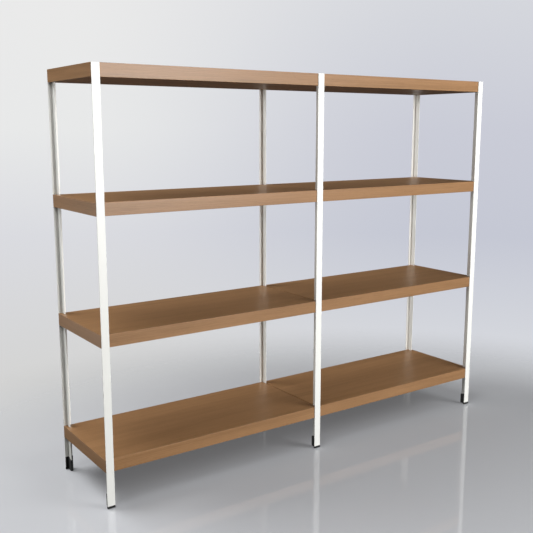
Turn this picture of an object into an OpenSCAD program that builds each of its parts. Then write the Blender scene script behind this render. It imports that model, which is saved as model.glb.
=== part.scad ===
// Two-bay shelving unit: T-section steel uprights with thick shelf boards held between them.
// The boards are slotted over the uprights' webs and rest on steel studs that they hide.
// Origin: on the floor, at the centre of the unit. X runs along the bays, -Y is the front.

/* [Unit] */
// Distance between neighbouring uprights, centre to centre
bay_pitch = 1030; // [600:10:1300]
// Depth over the outer faces of the uprights
unit_depth = 450; // [300:10:600]
// Height of the lowest shelf's underside above the floor
floor_gap = 150; // [80:5:250]
// Height from one shelf to the next
shelf_pitch = 500; // [250:10:600]

/* [Shelves] */
// Thickness of a shelf board
shelf_t = 51; // [36:1:60]
// How far a shelf reaches past the centre of the end upright
end_overhang = 17; // [15:1:30]
// Rounding of a shelf's long edges
shelf_edge_r = 1.0; // [0.5:0.5:3]

/* [Uprights] */
// Width of the flange, the part of the T that faces outwards
flange_w = 32; // [24:1:50]
// Distance from the flange's outer face to the free edge of the web
web_reach = 33; // [28:1:45]
// Thickness of the flange and of the web
steel_t = 3; // [2:0.5:4]

/* [Feet] */
// Thickness of a foot's sole
sole_t = 11; // [6:1:15]
// Height of the sleeve at its back, where it is highest
sleeve_h = 57.5; // [40:0.5:70]
// How much lower the sleeve is at the free edge of the web
sleeve_drop = 8; // [0:0.5:15]
// Width of the sleeve around the web
sleeve_w = 10.8; // [8:0.2:14]

/* [Studs] */
// Diameter of a shelf stud
stud_d = 8; // [6:1:10]
// Length of a shelf stud
stud_len = 24; // [16:1:26]
// Height of a stud's axis above the underside of its shelf
stud_rise = 20; // [12:1:24]

/* [Hidden] */
$fn = 64;
rows = ["front", "rear"];
columns = ["left", "middle", "right"];
bays = ["left", "right"];
levels = 4;
unit_h = floor_gap + (levels - 1) * shelf_pitch + shelf_t;

root_r = 1;              // fillet where the web leaves the flange
steel_edge_r = 0.5;      // eased corners of the rolled section
stud_hole_gap = 0.05;    // radial play of a stud in its hole
stud_chamfer = 1;
stud_inset = (steel_t + web_reach) / 2;   // stud axis, from the flange's outer face

slide_gap = 0.3;         // shelf to flange, and groove to stud
slot_gap = 0.5;          // shelf to each side of a web
slot_extra = 1;          // slot past the web's free edge
groove_extra = 0.5;      // groove past each end of a stud
shelf_inset = steel_t + slide_gap;        // shelf face, from the flange's outer face
slot_w = steel_t + 2 * slot_gap;
slot_end = web_reach + slot_extra;
groove_r = stud_d / 2 + slide_gap;
groove_len = stud_len + 2 * groove_extra;

foot_gap = 0.15;         // foot to steel
foot_side = 0.5;         // foot past each side of the flange
foot_wall = 3;           // wall behind the flange
foot_end = 2.35;         // wall past the web's free edge
foot_chamfer = 2.5;      // under the sole
foot_w = flange_w + 2 * foot_side;
foot_bar = steel_t + foot_gap + foot_wall;
foot_reach = web_reach + foot_gap + foot_end;

eps = 0.5;               // how far a cut runs past a face

upright_colour = "#f1f1ec";
foot_colour = "#1d1d1e";
stud_colour = "#b9bcc0";
shelf_colour = "#96754f";

function shelf_bottom(level) = floor_gap + (level - 1) * shelf_pitch;
function upright_name(row, column) = str("upright_", row, "_", column);
function foot_name(row, column) = str("foot_", row, "_", column);
function studs_name(level) = str("shelf_studs_", level);
function shelf_name(bay, level) = str("shelf_", bay, "_", level);

// ---- places ----

// Puts a child, drawn with the flange's outer face on y = 0 and the web towards +y, at a post.
module at_post(row, column) {
    x = (search([column], columns)[0] - 1) * bay_pitch;
    side = row == "front" ? 0 : 1;
    translate([x, (2 * side - 1) * unit_depth / 2, 0])
        mirror([0, side, 0])
            children();
}

// Repeats a child at all six posts.
module at_each_post() {
    for (row = rows, column = columns)
        at_post(row, column) children();
}

// ---- outlines ----

// Rectangle with its lower left corner at the origin and all corners rounded.
module eased_rect(size, r) {
    translate([r, 0]) square([size.x - 2 * r, size.y]);
    translate([0, r]) square([size.x, size.y - 2 * r]);
    for (x = [r, size.x - r], y = [r, size.y - r])
        translate([x, y]) circle(r = r);
}

// The uprights' section. grow makes it larger on every side, for the pocket in a foot.
module tee(grow = 0) {
    flange = [flange_w + 2 * grow, steel_t + 2 * grow];
    web = [steel_t + 2 * grow, web_reach - steel_t / 2 + grow];
    difference() {
        union() {
            translate([-flange.x / 2, -grow]) eased_rect(flange, steel_edge_r);
            translate([-web.x / 2, steel_t / 2]) eased_rect(web, steel_edge_r);
            translate([-web.x / 2 - root_r, steel_t / 2 + grow])
                square([web.x + 2 * root_r, steel_t / 2 + root_r]);
        }
        for (side = [-1, 1])
            translate([side * (web.x / 2 + root_r), steel_t + grow + root_r]) circle(r = root_r);
    }
}

// Rectangle with chamfered lower corners: half-widths from x_low to x_high, from y = 0 up.
module chamfered_rect(x_low, x_high, h, chamfer) {
    polygon([
        [x_low + chamfer, 0], [x_high - chamfer, 0], [x_high, chamfer],
        [x_high, h], [x_low, h], [x_low, chamfer]
    ]);
}

// ---- steel ----

module upright(row, column) {
    color(upright_colour)
        at_post(row, column)
            difference() {
                translate([0, 0, sole_t])
                    linear_extrude(unit_h - sole_t) tee();
                for (level = [1 : levels])
                    translate([0, stud_inset, shelf_bottom(level) + stud_rise])
                        rotate([0, 90, 0])
                            cylinder(h = 4 * steel_t, r = stud_d / 2 + stud_hole_gap, center = true);
            }
}

// One stud lying along X, centred on the origin, with chamfered ends.
module stud() {
    r = stud_d / 2;
    half = stud_len / 2;
    rotate([0, 90, 0])
        rotate_extrude()
            polygon([
                [0, -half], [r - stud_chamfer, -half], [r, -half + stud_chamfer],
                [r, half - stud_chamfer], [r - stud_chamfer, half], [0, half]
            ]);
}

// The six studs of one level, one through each upright's web.
module shelf_studs(level) {
    color(stud_colour)
        at_each_post()
            translate([0, stud_inset, shelf_bottom(level) + stud_rise]) stud();
}

// ---- feet ----

// A block whose lower edges are chamfered on all four sides.
module chamfered_block(x_low, x_high, y_low, y_high, h) {
    intersection() {
        translate([0, y_high, 0])
            rotate([90, 0, 0])
                linear_extrude(y_high - y_low) chamfered_rect(x_low, x_high, h, foot_chamfer);
        translate([x_low, 0, 0])
            rotate([90, 0, 90])
                linear_extrude(x_high - x_low) chamfered_rect(y_low, y_high, h, foot_chamfer);
    }
}

// Moulded foot: a T-shaped sole, a wall behind the flange and a sleeve around the web.
module foot(row, column) {
    color(foot_colour)
        at_post(row, column)
            difference() {
                union() {
                    chamfered_block(-foot_w / 2, foot_w / 2, 0, foot_bar, sleeve_h);
                    intersection() {
                        chamfered_block(-sleeve_w / 2, sleeve_w / 2, 0, foot_reach, sleeve_h);
                        translate([-sleeve_w, 0, 0])
                            rotate([90, 0, 90])
                                linear_extrude(2 * sleeve_w)
                                    polygon([
                                        [0, 0], [foot_reach, 0], [foot_reach, sleeve_h - sleeve_drop],
                                        [foot_bar, sleeve_h], [0, sleeve_h]
                                    ]);
                    }
                }
                translate([0, 0, sole_t])
                    linear_extrude(sleeve_h) tee(foot_gap);
                translate([-foot_w, -eps, sole_t])
                    cube([2 * foot_w, steel_t + foot_gap + eps, sleeve_h]);
            }
}

// ---- shelves ----

// Slot for the web of an end upright, front or rear, open to the shelf's edge.
module web_slot(row) {
    at_post(row, "left")
        translate([-slot_w / 2, 0, -eps])
            cube([slot_w, slot_end, shelf_t + 2 * eps]);
}

// Groove in a shelf's underside that drops over a stud.
module stud_groove(row, column) {
    at_post(row, column)
        translate([0, stud_inset, stud_rise]) {
            rotate([0, 90, 0]) cylinder(h = groove_len, r = groove_r, center = true);
            translate([-groove_len / 2, -groove_r, -stud_rise - eps])
                cube([groove_len, 2 * groove_r, stud_rise + eps]);
        }
}

// Board of the left bay, with its underside on z = 0.
module board() {
    board_d = unit_depth - 2 * shelf_inset;
    board_len = bay_pitch + end_overhang - slot_w / 2;
    difference() {
        translate([-bay_pitch - end_overhang, -board_d / 2, 0])
            rotate([90, 0, 90])
                linear_extrude(board_len) eased_rect([board_d, shelf_t], shelf_edge_r);
        for (row = rows) {
            web_slot(row);
            stud_groove(row, "left");
            stud_groove(row, "middle");
        }
    }
}

// The right bay's shelf is the left one turned half round.
module shelf(bay, level) {
    color(shelf_colour)
        translate([0, 0, shelf_bottom(level)])
            rotate([0, 0, bay == "left" ? 0 : 180])
                board();
}

// ---- the unit ----

for (row = rows, column = columns) {
    upright(row, column);
    foot(row, column);
}
for (level = [1 : levels]) {
    shelf_studs(level);
    for (bay = bays)
        shelf(bay, level);
}
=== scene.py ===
# Two-bay shelving unit: powder-coated T-section uprights, wood-effect boards, moulded feet.
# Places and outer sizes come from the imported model, and the finer sizes stand beside each piece's code.
# Lengths are in metres: a number times mm is a size given in millimetres.
import math

import bmesh
import bpy
from mathutils import Euler, Matrix, Vector


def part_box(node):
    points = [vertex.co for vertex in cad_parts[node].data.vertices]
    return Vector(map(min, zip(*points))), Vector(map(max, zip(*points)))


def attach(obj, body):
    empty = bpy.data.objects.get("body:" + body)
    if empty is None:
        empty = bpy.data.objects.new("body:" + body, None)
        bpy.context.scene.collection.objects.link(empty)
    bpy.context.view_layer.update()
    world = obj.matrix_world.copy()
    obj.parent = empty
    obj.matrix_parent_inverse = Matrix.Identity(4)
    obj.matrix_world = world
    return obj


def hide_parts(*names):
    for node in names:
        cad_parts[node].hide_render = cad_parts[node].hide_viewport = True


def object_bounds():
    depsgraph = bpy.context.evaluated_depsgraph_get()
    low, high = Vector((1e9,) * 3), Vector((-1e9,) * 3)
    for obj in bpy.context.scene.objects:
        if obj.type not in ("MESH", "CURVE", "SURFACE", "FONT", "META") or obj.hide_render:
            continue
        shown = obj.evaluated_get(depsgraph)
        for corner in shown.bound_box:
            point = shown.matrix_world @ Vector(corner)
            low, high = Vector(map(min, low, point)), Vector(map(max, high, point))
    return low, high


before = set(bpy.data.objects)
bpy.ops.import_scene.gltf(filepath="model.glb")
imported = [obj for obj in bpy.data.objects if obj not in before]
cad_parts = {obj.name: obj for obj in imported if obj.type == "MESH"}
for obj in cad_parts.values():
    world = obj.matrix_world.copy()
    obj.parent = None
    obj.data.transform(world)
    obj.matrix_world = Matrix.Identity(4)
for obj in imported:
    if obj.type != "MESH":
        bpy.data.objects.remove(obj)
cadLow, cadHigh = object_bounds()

mm = 0.001
same = 0.001 * mm   # coordinates closer together than this count as equal
columns = ["left", "middle", "right"]
rows = ["front", "rear"]
bays = ["left", "right"]
levels = [1, 2, 3, 4]


# Helpers. A Mix node's sockets go by number: input 0 is the share, 2 and 3 are the numbers to mix and
# 6 and 7 the colours, and output 0 gives a number and output 2 a colour.

def linear(hexCode):
    # an sRGB hex colour as linear red, green, blue and alpha
    values = [int(hexCode[i:i + 2], 16) / 255 for i in (1, 3, 5)]
    return [v / 12.92 if v <= 0.04045 else ((v + 0.055) / 1.055) ** 2.4 for v in values] + [1.0]


def addNode(tree, kind, links=None, **settings):
    # adds a node; links maps a socket's name or number to a value, or to the output that feeds it
    made = tree.nodes.new(kind)
    for name, value in settings.items():
        setattr(made, name, value)
    for key, value in (links or {}).items():
        if isinstance(value, bpy.types.NodeSocket):
            tree.links.new(value, made.inputs[key])
        else:
            made.inputs[key].default_value = value
    return made


def newMaterial(name):
    # an empty material's node tree, ready for its nodes
    material = bpy.data.materials.new(name)
    material.use_nodes = True
    material.node_tree.nodes.clear()
    return material, material.node_tree


def newObject(name, data):
    made = bpy.data.objects.new(name, data)
    bpy.context.scene.collection.objects.link(made)
    return made


def settle(piece):
    # turns the piece into the plain mesh that its modifiers make
    graph = bpy.context.evaluated_depsgraph_get()
    mesh = bpy.data.meshes.new_from_object(piece.evaluated_get(graph))
    piece.modifiers.clear()
    piece.data = mesh
    mesh.name = piece.name


def softenShading(piece):
    # smooth over the rounded edges, with the flat faces between them kept flat
    sharpDegrees = 35
    piece.data.shade_smooth()
    piece.data.set_sharp_from_angle(angle=math.radians(sharpDegrees))
    piece.modifiers.new("flatFaces", "WEIGHTED_NORMAL").keep_sharp = True
    settle(piece)


def addBox(bm, low, high):
    # a closed box with its faces outwards
    corners = [bm.verts.new((x, y, z)) for z in (low[2], high[2]) for y in (low[1], high[1])
               for x in (low[0], high[0])]
    for side in [(0, 2, 3, 1), (4, 5, 7, 6), (0, 1, 5, 4), (2, 6, 7, 3), (0, 4, 6, 2), (1, 3, 7, 5)]:
        bm.faces.new([corners[i] for i in side])


def addPrism(bm, outline, axis, start, end):
    # an outline in the two directions after axis, in X, Y, Z, X order, drawn out along axis
    def place(point, along):
        spot = Vector((0, 0, 0))
        spot[axis] = along
        spot[(axis + 1) % 3], spot[(axis + 2) % 3] = point
        return spot
    near = [bm.verts.new(place(p, start)) for p in outline]
    far = [bm.verts.new(place(p, end)) for p in outline]
    bm.faces.new(list(reversed(near)))
    bm.faces.new(far)
    for i, corner in enumerate(near):
        j = (i + 1) % len(near)
        bm.faces.new([corner, near[j], far[j], far[i]])


def arc(centre, radius, fromDegrees, toDegrees, steps):
    # points along part of a circle, both ends included
    turns = [math.radians(fromDegrees + (toDegrees - fromDegrees) * i / steps) for i in range(steps + 1)]
    return [(centre[0] + radius * math.cos(t), centre[1] + radius * math.sin(t)) for t in turns]


def finishPiece(piece, body, slot, *replaced):
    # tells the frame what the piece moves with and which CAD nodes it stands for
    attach(piece, body)
    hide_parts(*replaced)


# Materials

def powderCoatedSteel():
    # satin polyester powder coat: a soft sheen broken up by fine orange peel
    coat = {"colour": "#EFEFEA", "roughness": 0.38, "ior": 1.5,
            "peelMm": 1.1, "peelDepthMm": 0.012, "peelStrength": 0.35}
    material, tree = newMaterial("powderCoatedSteel")
    place = addNode(tree, "ShaderNodeTexCoord").outputs["Object"]
    peel = addNode(tree, "ShaderNodeTexNoise", {"Vector": place, "Scale": 1 / (coat["peelMm"] * mm),
                                                "Detail": 2.0, "Roughness": 0.45})
    bump = addNode(tree, "ShaderNodeBump", {"Height": peel.outputs["Fac"], "Strength": coat["peelStrength"],
                                            "Distance": coat["peelDepthMm"] * mm})
    shader = addNode(tree, "ShaderNodeBsdfPrincipled", {
        "Base Color": linear(coat["colour"]), "Roughness": coat["roughness"], "IOR": coat["ior"],
        "Normal": bump.outputs["Normal"]})
    addNode(tree, "ShaderNodeOutputMaterial", {"Surface": shader.outputs["BSDF"]})
    return material


def mouldedPolypropylene():
    # black moulded polypropylene: matt, with the fine spark texture of its mould
    plastic = {"colour": "#1C1C1D", "roughness": 0.5, "ior": 1.49,
               "grainMm": 0.45, "grainDepthMm": 0.02, "grainStrength": 0.5}
    material, tree = newMaterial("mouldedPolypropylene")
    place = addNode(tree, "ShaderNodeTexCoord").outputs["Object"]
    grain = addNode(tree, "ShaderNodeTexVoronoi", {"Vector": place, "Scale": 1 / (plastic["grainMm"] * mm)})
    bump = addNode(tree, "ShaderNodeBump", {
        "Height": grain.outputs["Distance"], "Strength": plastic["grainStrength"],
        "Distance": plastic["grainDepthMm"] * mm})
    shader = addNode(tree, "ShaderNodeBsdfPrincipled", {
        "Base Color": linear(plastic["colour"]), "Roughness": plastic["roughness"], "IOR": plastic["ior"],
        "Normal": bump.outputs["Normal"]})
    addNode(tree, "ShaderNodeOutputMaterial", {"Surface": shader.outputs["BSDF"]})
    return material


def zincPlatedSteel():
    # bright zinc plate: a slightly blue metal whose crystals vary the gloss in soft patches
    plate = {"colour": "#C4C8CC", "patchMm": 3.0, "gloss": (0.26, 0.4)}
    material, tree = newMaterial("zincPlatedSteel")
    place = addNode(tree, "ShaderNodeTexCoord").outputs["Object"]
    patches = addNode(tree, "ShaderNodeTexNoise", {"Vector": place, "Scale": 1 / (plate["patchMm"] * mm),
                                                   "Detail": 3.0})
    gloss = addNode(tree, "ShaderNodeMapRange", {"Value": patches.outputs["Fac"],
                                                 "To Min": plate["gloss"][0], "To Max": plate["gloss"][1]})
    shader = addNode(tree, "ShaderNodeBsdfPrincipled", {
        "Base Color": linear(plate["colour"]), "Metallic": 1.0, "Roughness": gloss.outputs["Result"]})
    addNode(tree, "ShaderNodeOutputMaterial", {"Surface": shader.outputs["BSDF"]})
    return material


def woodEffectLaminate():
    # melamine laminate printed as oiled oak: long figure, fine streaks and pressed pores under a satin film
    wood = {
        "light": "#A37B55", "mid": "#956F4A", "dark": "#805E3C", "pore": "#5C4028",
        "figureMm": (1100, 40), "streakMm": (300, 3.4), "fibreMm": (70, 1.2), "poreMm": (22, 0.8),
        "fibreShare": 0.45, "fineShare": 0.7, "darkAt": 0.36, "midAt": 0.5, "lightAt": 0.64,
        "poreRange": (0.6, 0.7), "poreTint": 0.3, "poreDepthMm": 0.05, "poreStrength": 0.25,
        "roughness": (0.34, 0.44), "ior": 1.45,
    }
    material, tree = newMaterial("woodEffectLaminate")
    flat = addNode(tree, "ShaderNodeUVMap", uv_map="grain").outputs["UV"]

    def along(sizeMm):
        # a pattern place in which one unit is sizeMm long with the grain and sizeMm wide across it
        return addNode(tree, "ShaderNodeMapping", {
            "Vector": flat, "Scale": (1 / (sizeMm[0] * mm), 1 / (sizeMm[1] * mm), 1)}).outputs["Vector"]

    figure = addNode(tree, "ShaderNodeTexNoise", {"Vector": along(wood["figureMm"]), "Scale": 1.0,
                                                  "Detail": 3.0, "Distortion": 0.6}).outputs["Fac"]
    streaks = addNode(tree, "ShaderNodeTexNoise", {"Vector": along(wood["streakMm"]), "Scale": 1.0,
                                                   "Detail": 4.0, "Roughness": 0.6}).outputs["Fac"]
    pores = addNode(tree, "ShaderNodeTexNoise", {"Vector": along(wood["poreMm"]), "Scale": 1.0,
                                                 "Detail": 1.0}).outputs["Fac"]
    fibres = addNode(tree, "ShaderNodeTexNoise", {"Vector": along(wood["fibreMm"]), "Scale": 1.0,
                                                  "Detail": 2.0, "Roughness": 0.7}).outputs["Fac"]
    fine = addNode(tree, "ShaderNodeMix", {0: wood["fibreShare"], 2: streaks, 3: fibres})
    blend = addNode(tree, "ShaderNodeMix", {0: wood["fineShare"], 2: figure, 3: fine.outputs[0]})
    tone = addNode(tree, "ShaderNodeValToRGB", {"Fac": blend.outputs[0]})
    stops = tone.color_ramp.elements
    stops[0].position, stops[0].color = wood["darkAt"], linear(wood["dark"])
    stops[1].position, stops[1].color = wood["lightAt"], linear(wood["light"])
    stops.new(wood["midAt"]).color = linear(wood["mid"])
    poreMask = addNode(tree, "ShaderNodeMapRange", {"Value": pores, "From Min": wood["poreRange"][0],
                                                    "From Max": wood["poreRange"][1]})
    poreShade = addNode(tree, "ShaderNodeMath", {0: poreMask.outputs["Result"], 1: wood["poreTint"]},
                        operation="MULTIPLY")
    tinted = addNode(tree, "ShaderNodeMix", {0: poreShade.outputs["Value"], 6: tone.outputs["Color"],
                                             7: linear(wood["pore"])}, data_type="RGBA")
    gloss = addNode(tree, "ShaderNodeMapRange", {"Value": streaks, "To Min": wood["roughness"][0],
                                                 "To Max": wood["roughness"][1]})
    bump = addNode(tree, "ShaderNodeBump", {
        "Height": poreMask.outputs["Result"], "Strength": wood["poreStrength"],
        "Distance": wood["poreDepthMm"] * mm}, invert=True)
    shader = addNode(tree, "ShaderNodeBsdfPrincipled", {
        "Base Color": tinted.outputs[2], "Roughness": gloss.outputs["Result"], "IOR": wood["ior"],
        "Normal": bump.outputs["Normal"]})
    addNode(tree, "ShaderNodeOutputMaterial", {"Surface": shader.outputs["BSDF"]})
    return material


def chipboardCore():
    # raw chipboard where the slots and grooves are routed: pressed flakes, matt and rough
    chips = {"light": "#B79B6F", "dark": "#7F6340", "roughness": 0.85,
             "flakeMm": 3.5, "depthMm": 0.3, "depthStrength": 0.6}
    material, tree = newMaterial("chipboardCore")
    place = addNode(tree, "ShaderNodeTexCoord").outputs["Object"]
    flakes = addNode(tree, "ShaderNodeTexVoronoi", {"Vector": place, "Scale": 1 / (chips["flakeMm"] * mm)})
    tone = addNode(tree, "ShaderNodeValToRGB", {"Fac": flakes.outputs["Distance"]})
    tone.color_ramp.elements[0].color = linear(chips["light"])
    tone.color_ramp.elements[1].color = linear(chips["dark"])
    bump = addNode(tree, "ShaderNodeBump", {
        "Height": flakes.outputs["Distance"], "Strength": chips["depthStrength"],
        "Distance": chips["depthMm"] * mm})
    shader = addNode(tree, "ShaderNodeBsdfPrincipled", {
        "Base Color": tone.outputs["Color"], "Roughness": chips["roughness"],
        "Normal": bump.outputs["Normal"]})
    addNode(tree, "ShaderNodeOutputMaterial", {"Surface": shader.outputs["BSDF"]})
    return material


def studioFloor():
    # pale polished floor that fades into the backdrop away from the unit, and is clear from below;
    # a faint glow of its own keeps the shadows on it pale
    polish = {"colour": "#CED0D4", "roughness": 0.04, "ior": 1.45, "glow": 0.17,
              "centreY": -0.8, "fade": (1.4, 2.8)}
    material, tree = newMaterial("studioFloor")
    place = addNode(tree, "ShaderNodeTexCoord").outputs["Object"]
    shifted = addNode(tree, "ShaderNodeVectorMath", {0: place, 1: (0, polish["centreY"], 0)},
                      operation="SUBTRACT")
    away = addNode(tree, "ShaderNodeVectorMath", {0: shifted.outputs["Vector"]}, operation="LENGTH")
    fade = addNode(tree, "ShaderNodeMapRange", {
        "Value": away.outputs["Value"], "From Min": polish["fade"][0],
        "From Max": polish["fade"][1]}, interpolation_type="SMOOTHSTEP")
    below = addNode(tree, "ShaderNodeNewGeometry").outputs["Backfacing"]
    hidden = addNode(tree, "ShaderNodeMath", {0: fade.outputs["Result"], 1: below}, operation="MAXIMUM")
    shader = addNode(tree, "ShaderNodeBsdfPrincipled", {
        "Base Color": linear(polish["colour"]), "Roughness": polish["roughness"], "IOR": polish["ior"],
        "Emission Color": linear(polish["colour"]), "Emission Strength": polish["glow"]})
    clear = addNode(tree, "ShaderNodeBsdfTransparent")
    blend = addNode(tree, "ShaderNodeMixShader", {0: hidden.outputs["Value"], 1: shader.outputs["BSDF"],
                                                  2: clear.outputs["BSDF"]})
    addNode(tree, "ShaderNodeOutputMaterial", {"Surface": blend.outputs["Shader"]})
    return material


steelCoat = powderCoatedSteel()
footPlastic = mouldedPolypropylene()
studPlate = zincPlatedSteel()
laminate = woodEffectLaminate()
core = chipboardCore()
print("materials made")


# What the frame says about the uprights, the studs and the gap between the bays

postLow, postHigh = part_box("upright_front_left")
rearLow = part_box("upright_rear_left")[0]
postCentreX = {c: sum(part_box("upright_front_" + c)[i].x for i in (0, 1)) / 2 for c in columns}
studLow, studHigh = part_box("shelf_studs_1")
studRadius = (studHigh.z - studLow.z) / 2
studHalf = studHigh.x - postCentreX["right"]
studY = {"front": studLow.y + studRadius, "rear": studHigh.y - studRadius}
studZ = {n: sum(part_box("shelf_studs_%d" % n)[i].z for i in (0, 1)) / 2 for n in levels}
bayGap = 2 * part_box("shelf_right_1")[0].x


# Uprights: the rolled section drawn up from the foot, with its stud holes punched by Geometry Nodes

section = {"steel": 3 * mm, "rootRadius": 1 * mm, "edgeRadius": 0.5 * mm, "arcSteps": 6,
           "endEase": 0.4 * mm, "easeSteps": 2, "holePlay": 0.05 * mm, "holeSides": 48}


def teeOutline():
    # the section seen from above: the flange lies along X, outer face on y = 0, and the web towards +Y
    half = (postHigh.x - postLow.x) / 2
    reach = postHigh.y - postLow.y
    web, steel = section["steel"] / 2, section["steel"]
    edge, root, steps = section["edgeRadius"], section["rootRadius"], section["arcSteps"]
    right = arc((half - edge, edge), edge, -90, 0, steps)
    right += arc((half - edge, steel - edge), edge, 0, 90, steps)
    right += arc((web + root, steel + root), root, 270, 180, steps)
    right += arc((web - edge, reach - edge), edge, 0, 90, steps)
    return right + [(-x, y) for x, y in reversed(right)]


def punchTree():
    # cuts a straight row of round holes, one above another, through whatever it is given
    tree = bpy.data.node_groups.new("punchedHoles", "GeometryNodeTree")
    face = tree.interface
    face.new_socket("Geometry", in_out="INPUT", socket_type="NodeSocketGeometry")
    for name, kind in [("First Hole", "NodeSocketVector"), ("Hole Pitch", "NodeSocketFloat"),
                       ("Hole Count", "NodeSocketInt"), ("Hole Radius", "NodeSocketFloat"),
                       ("Hole Length", "NodeSocketFloat"), ("Material", "NodeSocketMaterial")]:
        face.new_socket(name, in_out="INPUT", socket_type=kind)
    face.new_socket("Geometry", in_out="OUTPUT", socket_type="NodeSocketGeometry")
    given = addNode(tree, "NodeGroupInput").outputs
    step = addNode(tree, "ShaderNodeCombineXYZ", {"Z": given["Hole Pitch"]})
    places = addNode(tree, "GeometryNodeMeshLine", {"Count": given["Hole Count"],
                                                    "Start Location": given["First Hole"],
                                                    "Offset": step.outputs["Vector"]})
    punch = addNode(tree, "GeometryNodeMeshCylinder", {"Vertices": section["holeSides"],
                                                       "Radius": given["Hole Radius"],
                                                       "Depth": given["Hole Length"]})
    row = addNode(tree, "GeometryNodeInstanceOnPoints", {
        "Points": places.outputs["Mesh"], "Instance": punch.outputs["Mesh"],
        "Rotation": Euler((0, math.pi / 2, 0))})   # lies the holes along X
    punches = addNode(tree, "GeometryNodeRealizeInstances", {"Geometry": row.outputs["Instances"]})
    cut = addNode(tree, "GeometryNodeMeshBoolean", {"Mesh 1": given["Geometry"],
                                                    "Mesh 2": punches.outputs["Geometry"]},
                  operation="DIFFERENCE", solver="EXACT")
    whole = addNode(tree, "GeometryNodeRealizeInstances", {"Geometry": cut.outputs["Mesh"]})
    dressed = addNode(tree, "GeometryNodeSetMaterial", {"Geometry": whole.outputs["Geometry"],
                                                        "Material": given["Material"]})
    addNode(tree, "NodeGroupOutput", {"Geometry": dressed.outputs["Geometry"]})
    return tree


def useTree(piece, tree, **values):
    # runs a Geometry Nodes tree on the piece; values go by the inputs' names without their spaces
    modifier = piece.modifiers.new(tree.name, "NODES")
    modifier.node_group = tree
    for item in tree.interface.items_tree:
        key = item.name.replace(" ", "")
        if item.in_out == "INPUT" and key in values:
            modifier[item.identifier] = values[key]
    settle(piece)


def makeUpright(row, column, tree):
    # the rear uprights are the front ones turned half round, so every web points inwards
    name = "upright_%s_%s" % (row, column)
    low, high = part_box(name)
    turn = 1 if row == "front" else -1
    outer = low.y if row == "front" else high.y
    outline = [(postCentreX[column] + turn * x, outer + turn * y) for x, y in teeOutline()]
    bm = bmesh.new()
    addPrism(bm, outline, 2, low.z, high.z)
    ends = [e for e in bm.edges if abs(e.verts[0].co.z - e.verts[1].co.z) < same]
    bmesh.ops.bevel(bm, geom=ends, offset=section["endEase"], segments=section["easeSteps"], profile=0.5,
                    affect="EDGES", clamp_overlap=True)
    bmesh.ops.recalc_face_normals(bm, faces=bm.faces)
    mesh = bpy.data.meshes.new(name)
    bm.to_mesh(mesh)
    piece = newObject(name + ".section", mesh)
    useTree(piece, tree, FirstHole=(postCentreX[column], studY[row], studZ[1]),
            HolePitch=studZ[2] - studZ[1], HoleCount=len(levels),
            HoleRadius=studRadius + section["holePlay"], HoleLength=4 * section["steel"],
            Material=steelCoat)
    softenShading(piece)
    finishPiece(piece, "frame", "upright_steel", name)


holes = punchTree()
for row in rows:
    for column in columns:
        makeUpright(row, column, holes)
print("uprights made")


# Studs: one chamfered pin, set out over the six uprights of each level by Geometry Nodes

pin = {"chamfer": 1 * mm, "sides": 48}


def studMesh():
    # one pin lying along X with both its rims chamfered
    bm = bmesh.new()
    bmesh.ops.create_cone(bm, cap_ends=True, segments=pin["sides"], radius1=studRadius, radius2=studRadius,
                          depth=2 * studHalf, matrix=Matrix.Rotation(math.pi / 2, 4, "Y"))
    rims = [e for e in bm.edges if abs(e.verts[0].co.x - e.verts[1].co.x) < same]
    bmesh.ops.bevel(bm, geom=rims, offset=pin["chamfer"], segments=1, affect="EDGES")
    mesh = bpy.data.meshes.new("stud")
    bm.to_mesh(mesh)
    return mesh


def spreadTree():
    # sets copies of what it is given on a grid of points
    tree = bpy.data.node_groups.new("studGrid", "GeometryNodeTree")
    face = tree.interface
    face.new_socket("Geometry", in_out="INPUT", socket_type="NodeSocketGeometry")
    for name, kind in [("Size X", "NodeSocketFloat"), ("Size Y", "NodeSocketFloat"),
                       ("Count X", "NodeSocketInt"), ("Count Y", "NodeSocketInt"),
                       ("Centre", "NodeSocketVector"), ("Material", "NodeSocketMaterial")]:
        face.new_socket(name, in_out="INPUT", socket_type=kind)
    face.new_socket("Geometry", in_out="OUTPUT", socket_type="NodeSocketGeometry")
    given = addNode(tree, "NodeGroupInput").outputs
    grid = addNode(tree, "GeometryNodeMeshGrid", {"Size X": given["Size X"], "Size Y": given["Size Y"],
                                                  "Vertices X": given["Count X"],
                                                  "Vertices Y": given["Count Y"]})
    placed = addNode(tree, "GeometryNodeTransform", {"Geometry": grid.outputs["Mesh"],
                                                     "Translation": given["Centre"]})
    copies = addNode(tree, "GeometryNodeInstanceOnPoints", {"Points": placed.outputs["Geometry"],
                                                            "Instance": given["Geometry"]})
    whole = addNode(tree, "GeometryNodeRealizeInstances", {"Geometry": copies.outputs["Instances"]})
    dressed = addNode(tree, "GeometryNodeSetMaterial", {"Geometry": whole.outputs["Geometry"],
                                                        "Material": given["Material"]})
    addNode(tree, "NodeGroupOutput", {"Geometry": dressed.outputs["Geometry"]})
    return tree


def makeStuds(level, mesh, tree):
    name = "shelf_studs_%d" % level
    piece = newObject(name + ".pins", mesh)
    useTree(piece, tree, SizeX=postCentreX["right"] - postCentreX["left"], CountX=len(columns),
            SizeY=studY["rear"] - studY["front"], CountY=len(rows), Centre=(0, 0, studZ[level]),
            Material=studPlate)
    softenShading(piece)
    finishPiece(piece, "frame", "stud_steel", name)


studGrid = spreadTree()
oneStud = studMesh()
for level in levels:
    makeStuds(level, oneStud, studGrid)
print("studs made")


# Feet: the CAD foot with its moulded edges rounded

footEdge = {"radius": 0.5 * mm, "segments": 3, "sharpDegrees": 40, "weld": 0.005 * mm, "flatDegrees": 0.5}


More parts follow.
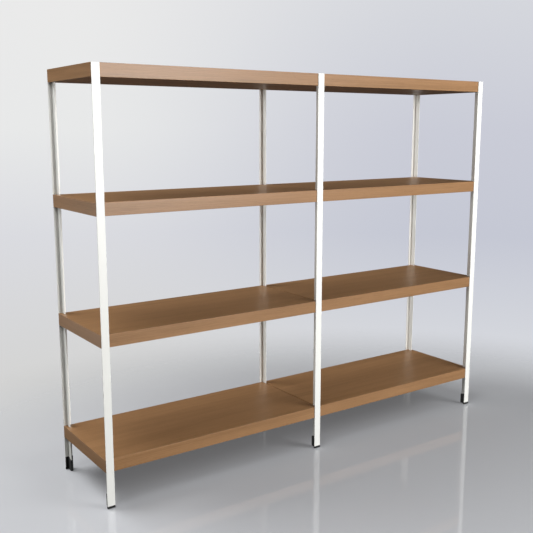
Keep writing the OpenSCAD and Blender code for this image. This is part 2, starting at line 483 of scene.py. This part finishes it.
def makeFoot(row, column):
    # joins up the CAD triangles, merges the flat ones into whole faces and rounds the edges between them
    name = "foot_%s_%s" % (row, column)
    bm = bmesh.new()
    bm.from_mesh(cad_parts[name].data)
    bmesh.ops.remove_doubles(bm, verts=bm.verts, dist=footEdge["weld"])
    bmesh.ops.dissolve_limit(bm, angle_limit=math.radians(footEdge["flatDegrees"]), verts=bm.verts,
                             edges=bm.edges)
    mesh = bpy.data.meshes.new(name)
    bm.to_mesh(mesh)
    piece = newObject(name + ".moulding", mesh)
    mesh.materials.append(footPlastic)
    edge = piece.modifiers.new("mouldedEdges", "BEVEL")
    edge.width, edge.segments = footEdge["radius"], footEdge["segments"]
    edge.limit_method, edge.angle_limit = "ANGLE", math.radians(footEdge["sharpDegrees"])
    settle(piece)
    softenShading(piece)
    finishPiece(piece, "frame", "foot_plastic", name)


for row in rows:
    for column in columns:
        makeFoot(row, column)
print("feet made")


# Shelf boards: laminated all round with eased edges, routed for the webs and the studs

board = {"ease": 1.0 * mm, "easeSteps": 3, "sharpRadians": 0.5, "flatDegrees": 0.2,
         "slotPastWeb": 1 * mm, "grooveGap": 0.3 * mm, "groovePastStud": 0.5 * mm, "grooveSteps": 20,
         "past": 5 * mm}   # past is how far a cutter reaches beyond the board
grain = {"sideShift": 1.7, "backShift": 0.6, "levelShift": 0.37, "bayShift": 2.3, "acrossShift": 3}


def addSlot(bm, row, low, high):
    # the slot that lets an end upright's web through
    webEdge = postHigh.y if row == "front" else rearLow.y
    inward = 1 if row == "front" else -1
    ends = sorted([webEdge + inward * board["slotPastWeb"], inward * (low.y - board["past"])])
    for column in ("left", "right"):
        x = postCentreX[column]
        if low.x < x < high.x:
            addBox(bm, (x - bayGap / 2, ends[0], low.z - board["past"]),
                   (x + bayGap / 2, ends[1], high.z + board["past"]))


def addGroove(bm, row, column, level, low):
    # the groove that drops over a stud, round at its top and open below
    radius = studRadius + board["grooveGap"]
    half = studHalf + board["groovePastStud"]
    y, z = studY[row], studZ[level]
    bottom = low.z - board["past"]
    outline = arc((y, z), radius, 0, 180, board["grooveSteps"])
    outline += [(y - radius, bottom), (y + radius, bottom)]
    addPrism(bm, outline, 0, postCentreX[column] - half, postCentreX[column] + half)


def cutAway(piece, cutters):
    # each cut face takes the material of the cutter that made it
    for cutter in cutters:
        cut = piece.modifiers.new("rout", "BOOLEAN")
        cut.object, cut.solver, cut.material_mode = cutter, "EXACT", "TRANSFER"
    settle(piece)
    for cutter in cutters:
        bpy.data.objects.remove(cutter)


def easeEdges(piece, low, high):
    # bevels the edges between two laminated faces, and leaves the routed ones sharp
    squareness, closeness = 0.001, 0.01 * mm   # how nearly a face must be square on and at the outside

    def onSkin(face):
        spot, normal = face.calc_center_median(), face.normal
        return any(abs(abs(normal[i]) - 1) < squareness
                   and min(abs(spot[i] - low[i]), abs(spot[i] - high[i])) < closeness for i in range(3))

    bm = bmesh.new()
    bm.from_mesh(piece.data)
    bmesh.ops.dissolve_limit(bm, angle_limit=math.radians(board["flatDegrees"]), verts=bm.verts,
                             edges=bm.edges, delimit={"MATERIAL"})
    bm.normal_update()
    skin = [e for e in bm.edges if len(e.link_faces) == 2 and all(onSkin(f) for f in e.link_faces)
            and e.calc_face_angle(0) > board["sharpRadians"]]
    bmesh.ops.bevel(bm, geom=skin, offset=board["ease"], segments=board["easeSteps"], profile=0.5,
                    affect="EDGES", clamp_overlap=True)
    bm.to_mesh(piece.data)


def mapGrain(mesh, shift):
    # the laminate's flat map in metres, u with the grain: along Y on the ends and along X elsewhere;
    # the shifts give every side of every board its own stretch of pattern
    layer = mesh.uv_layers.new(name="grain")
    axes = {0: (1, 2), 1: (0, 2), 2: (0, 1)}
    for face in mesh.polygons:
        facing = max(range(3), key=lambda i: abs(face.normal[i]))
        side = grain["sideShift"] * facing + (grain["backShift"] if face.normal[facing] < 0 else 0)
        for loop in face.loop_indices:
            spot = mesh.vertices[mesh.loops[loop].vertex_index].co
            layer.data[loop].uv = (spot[axes[facing][0]] + shift + side,
                                   spot[axes[facing][1]] + grain["acrossShift"] * shift)


def newCutter(addShape):
    # a cutter in the shape that addShape draws, which leaves bare chipboard where it cuts
    bm = bmesh.new()
    addShape(bm)
    bmesh.ops.recalc_face_normals(bm, faces=bm.faces)
    mesh = bpy.data.meshes.new("cutter")
    bm.to_mesh(mesh)
    mesh.materials.append(core)
    return newObject("cutter", mesh)


def makeShelf(bay, level):
    name = "shelf_%s_%d" % (bay, level)
    low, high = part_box(name)
    bm = bmesh.new()
    addBox(bm, low, high)
    mesh = bpy.data.meshes.new(name)
    bm.to_mesh(mesh)
    piece = newObject(name + ".board", mesh)
    mesh.materials.append(laminate)
    cutters = []
    for row in rows:
        cutters.append(newCutter(lambda bm: addSlot(bm, row, low, high)))
        for column in columns:
            if column in (bay, "middle"):
                cutters.append(newCutter(lambda bm: addGroove(bm, row, column, level, low)))
    cutAway(piece, cutters)
    easeEdges(piece, low, high)
    mapGrain(piece.data, grain["levelShift"] * level + (grain["bayShift"] if bay == "right" else 0))
    softenShading(piece)
    finishPiece(piece, name, "shelf_laminate", name)


for bay in bays:
    for level in levels:
        makeShelf(bay, level)
print("shelf boards made")


# Studio: a pale floor, softboxes, a dim surround behind a pale backdrop, and the camera

studio = {
    "floorSize": 10, "floorDrop": 0.2 * mm, "surround": "#FFFFFF", "surroundStrength": 0.05,
    "coolRange": (0.35, 0.75), "lampDistance": 5.0,
    "cameraPlace": (-2.1653, -2.9050, 1.4662), "cameraYaw": 35, "cameraPitch": -10, "lens": 52.65,
    "sensor": 36,
}
# the backdrop by how far up one looks, a sine, on its plain side and on its cooler side towards +X
backdrop = [(-0.5, "#E2E3E5", "#D2D4D9"), (-0.3, "#D4D4D3", "#DADCE0"), (-0.13, "#DADBE0", "#C5C8D4"),
            (0.0, "#E8E9E9", "#CACCD7"), (0.15, "#EAEAEA", "#D5D7DD")]
# azimuth is from the front, positive to the right, and elevation is from the middle of the unit;
# the floor lets the low lamps through from below, as it casts no shadow
softboxes = [
    {"name": "frontSoftbox", "azimuth": 13, "elevation": 11, "size": 2.3, "radiance": 13.2,
     "offFloor": True},
    {"name": "upperSoftbox", "azimuth": 32, "elevation": 30, "size": 2.3, "radiance": 4.5},
    {"name": "leftSoftbox", "azimuth": -64, "elevation": 46, "size": 2.4, "radiance": 3.4},
    {"name": "rearSoftbox", "azimuth": -130, "elevation": 53, "size": 2.8, "radiance": 7.0},
    {"name": "lowSoftbox", "azimuth": -122, "elevation": -6, "size": 2.2, "radiance": 4.0,
     "offFloor": True},
    {"name": "rightSoftbox", "azimuth": 80, "elevation": 20, "size": 2.4, "radiance": 0.8},
    {"name": "floorSoftbox", "azimuth": 38, "elevation": -14, "size": 3.2, "radiance": 0.4},
]


def makeFloor():
    # the floor shows, and shows reflections, but throws no light up under the boards
    bm = bmesh.new()
    bmesh.ops.create_grid(bm, x_segments=1, y_segments=1, size=studio["floorSize"] / 2)
    mesh = bpy.data.meshes.new("floor")
    bm.to_mesh(mesh)
    mesh.materials.append(studioFloor())
    floor = newObject("floor", mesh)
    floor.location.z = cadLow.z - studio["floorDrop"]
    floor.visible_diffuse = floor.visible_glossy = floor.visible_shadow = False
    return floor


def makeSoftbox(box):
    # a square lamp that faces the middle of the unit
    middle = (cadLow + cadHigh) / 2
    azimuth, elevation = math.radians(box["azimuth"]), math.radians(box["elevation"])
    out = Vector((math.sin(azimuth) * math.cos(elevation), -math.cos(azimuth) * math.cos(elevation),
                  math.sin(elevation)))
    lamp = bpy.data.lights.new(box["name"], "AREA")
    lamp.shape, lamp.size = "SQUARE", box["size"]
    lamp.energy = box["radiance"] * math.pi * box["size"] ** 2
    holder = newObject(box["name"], lamp)
    holder.location = middle + out * studio["lampDistance"]
    holder.rotation_euler = out.to_track_quat("Z", "Y").to_euler()
    return holder


def keepOff(holder, thing):
    # the lamp neither lights the thing nor mirrors in it
    links = bpy.data.collections.new("keptOff")
    links.objects.link(thing)
    holder.light_linking.receiver_collection = links
    links.collection_objects[0].light_linking.link_state = "EXCLUDE"


def makeSurround():
    # the backdrop is what the camera sees; the dimmer surround is what lights the unit
    world = bpy.data.worlds.new("surround")
    world.use_nodes = True
    tree = world.node_tree
    tree.nodes.clear()
    facing = addNode(tree, "ShaderNodeTexCoord").outputs["Generated"]
    way = addNode(tree, "ShaderNodeSeparateXYZ", {0: facing}).outputs
    lowest, highest = backdrop[0][0], backdrop[-1][0]
    rise = addNode(tree, "ShaderNodeMapRange", {"Value": way["Z"], "From Min": lowest, "From Max": highest})
    shades = []
    for side in (1, 2):
        shade = addNode(tree, "ShaderNodeValToRGB", {"Fac": rise.outputs["Result"]})
        stops = shade.color_ramp.elements
        stops[0].color, stops[-1].color = linear(backdrop[0][side]), linear(backdrop[-1][side])
        for step in backdrop[1:-1]:
            stops.new((step[0] - lowest) / (highest - lowest)).color = linear(step[side])
        shades.append(shade.outputs["Color"])
    across = addNode(tree, "ShaderNodeMapRange", {"Value": way["X"], "From Min": studio["coolRange"][0],
                                                  "From Max": studio["coolRange"][1]},
                     interpolation_type="SMOOTHSTEP")
    tint = addNode(tree, "ShaderNodeMix", {0: across.outputs["Result"], 6: shades[0], 7: shades[1]},
                   data_type="RGBA")
    shown = addNode(tree, "ShaderNodeBackground", {"Color": tint.outputs[2]})
    surround = addNode(tree, "ShaderNodeBackground", {"Color": linear(studio["surround"]),
                                                      "Strength": studio["surroundStrength"]})
    seen = addNode(tree, "ShaderNodeLightPath").outputs["Is Camera Ray"]
    both = addNode(tree, "ShaderNodeMixShader", {0: seen, 1: surround.outputs["Background"],
                                                 2: shown.outputs["Background"]})
    addNode(tree, "ShaderNodeOutputWorld", {"Surface": both.outputs["Shader"]})
    bpy.context.scene.world = world


def makeCamera():
    camera = bpy.data.cameras.new("camera")
    camera.lens, camera.sensor_width = studio["lens"], studio["sensor"]
    holder = newObject("camera", camera)
    holder.location = studio["cameraPlace"]
    holder.rotation_euler = (math.radians(90 + studio["cameraPitch"]), 0, math.radians(-studio["cameraYaw"]))
    bpy.context.scene.camera = holder


floor = makeFloor()
for box in softboxes:
    holder = makeSoftbox(box)
    if box.get("offFloor"):
        keepOff(holder, floor)
makeSurround()
makeCamera()
bpy.context.scene.view_settings.view_transform = "Standard"
print("studio made")
